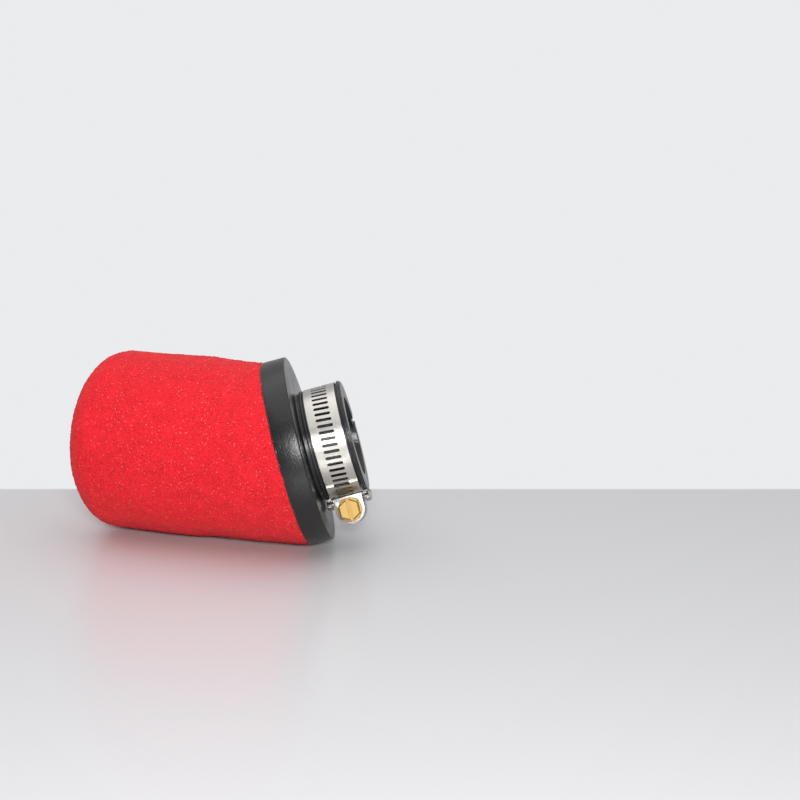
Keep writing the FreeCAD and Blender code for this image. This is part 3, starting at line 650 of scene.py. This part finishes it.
def eased_copy(node, name, finish, body, easing):
    """Piece that follows a CAD node's shape, merged, with its sharp edges eased and smoothed."""
    bpy.ops.object.select_all(action="DESELECT")
    piece = bpy.data.objects.new(name, frame["nodes"][node].data.copy())
    bpy.context.scene.collection.objects.link(piece)
    piece.select_set(True)
    bpy.context.view_layer.objects.active = piece
    bpy.ops.object.mode_set(mode="EDIT")
    bpy.ops.mesh.select_all(action="SELECT")
    bpy.ops.mesh.remove_doubles(threshold=MERGE_DISTANCE)
    if easing:
        bpy.ops.mesh.dissolve_limited(angle_limit=FLAT_ANGLE)
    bpy.ops.object.mode_set(mode="OBJECT")
    bpy.ops.mesh.customdata_custom_splitnormals_clear()
    if easing:
        ease = piece.modifiers.new("EasedEdges", "BEVEL")
        ease.limit_method = "ANGLE"
        ease.angle_limit = EDGE_ANGLE
        ease.width = easing
        ease.segments = 2
        bpy.ops.object.modifier_apply(modifier="EasedEdges")
    bpy.ops.object.shade_smooth_by_angle(angle=SMOOTH_ANGLE)
    piece.data.materials.clear()
    piece.data.materials.append(finish)
    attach(piece, body)
    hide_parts(node)


eased_copy("clamp_band", "slotted_band", band_steel, "band", 0)
eased_copy("clamp_saddle", "curled_saddle", saddle_steel_painted_shade, "clamp_head", SADDLE_EASE)
eased_copy("clamp_housing", "worm_barrel", saddle_steel_painted_shade, "clamp_head", BARREL_EASE)

# ---------------------------------------------------------------------------------------------
# Worm screw: steel with yellow zinc plating, a hexagon head with a driver slot, a collar and the
# worm. Yellow zinc has a faint green and pink bloom; here the plating is gold with a faint bloom
# between two golds and paler scuffs scattered over it.
# ---------------------------------------------------------------------------------------------
yellow_zinc, tree, shader, place = new_finish("yellow_zinc_plate")
bloom = node_in(tree, "ShaderNodeTexNoise", Vector=place, Scale=520.0, Detail=3.0)
zinc_tint = blend_colour(tree, bloom.outputs[0], (0.56, 0.34, 0.085, 1), (0.48, 0.32, 0.12, 1))
scuffs = node_in(tree, "ShaderNodeTexNoise", Vector=place, Scale=2400.0, Detail=4.0)
zinc_tint = blend_colour(tree, blend_value(tree, scuffs.outputs[0], -0.5, 1.0), zinc_tint,
                         (0.62, 0.47, 0.23, 1))
tree.links.new(zinc_tint, shader.inputs["Base Color"])
tree.links.new(blend_value(tree, scuffs.outputs[0], 0.5, 0.7), shader.inputs["Roughness"])
bump_into(tree, shader, scuffs.outputs[0], 0.00003, 0.4)
shader.inputs["Metallic"].default_value = 1.0
eased_copy("clamp_screw", "worm_screw", yellow_zinc, "screw", 0)

# ---------------------------------------------------------------------------------------------
# Table, light and camera: a pale, slightly glossy table that turns paler past a straight line
# behind the filter, one big soft lamp overhead, a smaller one beside the camera and a pale
# surround.
# ---------------------------------------------------------------------------------------------
CAMERA_PLACE = Vector((0.24908, -0.65085, 0.18835))
CAMERA_TURN = (math.radians(90 - 14.0), 0, math.radians(19.45))
WALL_DISTANCE = 0.769
WALL_COLOUR = (0.83, 0.835, 0.85, 1)
TABLE_COLOUR = (0.66, 0.66, 0.675, 1)
TABLE_ROUGHNESS = 0.32
LINE_SOFTNESS = 0.001
LIT_MIDDLE = (-0.03, 0, 0)
ROOM_BEHIND_CAMERA = 0.07
ROOM_AHEAD = 0.66

bpy.ops.object.camera_add(location=CAMERA_PLACE, rotation=CAMERA_TURN)
camera = bpy.context.object
camera.data.lens = 81
camera.data.sensor_width = 36
camera.data.clip_start = 0.01
camera.data.dof.use_dof = False
bpy.context.scene.camera = camera

table_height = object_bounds()[0].z
bpy.ops.mesh.primitive_plane_add(size=6, location=(0, 0, table_height))
table = bpy.context.object
table.name = "table"
table_top, tree, shader, place = new_finish("pale_table")
forward = Vector((-math.sin(CAMERA_TURN[2]), math.cos(CAMERA_TURN[2]), 0))
line_distance = CAMERA_PLACE.dot(forward) + WALL_DISTANCE
depth = node_in(tree, "ShaderNodeVectorMath", {"operation": "DOT_PRODUCT"}, _0=place, _1=forward)
past_line = node_in(tree, "ShaderNodeMapRange", _0=depth.outputs["Value"],
                    _1=line_distance - LINE_SOFTNESS, _2=line_distance + LINE_SOFTNESS)
shader.inputs["Base Color"].default_value = TABLE_COLOUR
shader.inputs["Roughness"].default_value = TABLE_ROUGHNESS
pale = tree.nodes.new("ShaderNodeEmission")
pale.inputs["Color"].default_value = WALL_COLOUR
rays = tree.nodes.new("ShaderNodeLightPath")
seen = node_in(tree, "ShaderNodeMath", {"operation": "MAXIMUM"},
               _0=rays.outputs["Is Camera Ray"], _1=rays.outputs["Is Glossy Ray"])
plain_there = node_in(tree, "ShaderNodeMath", {"operation": "MULTIPLY"},
                      _0=seen.outputs[0], _1=past_line.outputs[0])
covering = node_in(tree, "ShaderNodeMixShader", Fac=plain_there.outputs[0])
tree.links.new(shader.outputs[0], covering.inputs[1])
tree.links.new(pale.outputs[0], covering.inputs[2])
tree.links.new(covering.outputs[0], tree.nodes["Material Output"].inputs["Surface"])
table.data.materials.append(table_top)

world = bpy.data.worlds.new("surround")
bpy.context.scene.world = world
world.use_nodes = True
sky = world.node_tree
surround = sky.nodes["Background"]
surround.inputs["Color"].default_value = WALL_COLOUR
rays = sky.nodes.new("ShaderNodeLightPath")
outward = sky.nodes.new("ShaderNodeTexCoord").outputs["Generated"]
ahead = node_in(sky, "ShaderNodeVectorMath", {"operation": "DOT_PRODUCT"}, _0=outward, _1=forward)
room = node_in(sky, "ShaderNodeMapRange", _0=ahead.outputs["Value"], _1=-0.75, _2=0.55,
               _3=ROOM_BEHIND_CAMERA, _4=ROOM_AHEAD)
strength = node_in(sky, "ShaderNodeMix", {"data_type": "FLOAT"}, _0=rays.outputs["Is Camera Ray"],
                   _2=room.outputs[0], _3=1.0)
sky.links.new(strength.outputs[0], surround.inputs["Strength"])


def soft_lamp(name, place, aim, width, height, power):
    """Rectangular soft lamp that faces a point."""
    bpy.ops.object.light_add(type="AREA", location=place)
    lamp = bpy.context.object
    lamp.name = name
    lamp.data.shape = "RECTANGLE"
    lamp.data.size = width
    lamp.data.size_y = height
    lamp.data.energy = power
    lamp.rotation_euler = (Vector(aim) - Vector(place)).to_track_quat("-Z", "Y").to_euler()


soft_lamp("overhead", (-0.1, -0.05, 0.9), LIT_MIDDLE, width=1.5, height=1.3, power=6.0)
soft_lamp("by_camera", CAMERA_PLACE + Vector((0.04, -0.045, 0.088)), LIT_MIDDLE, width=0.17,
          height=0.12, power=4.6)

bpy.context.scene.view_settings.view_transform = "Standard"
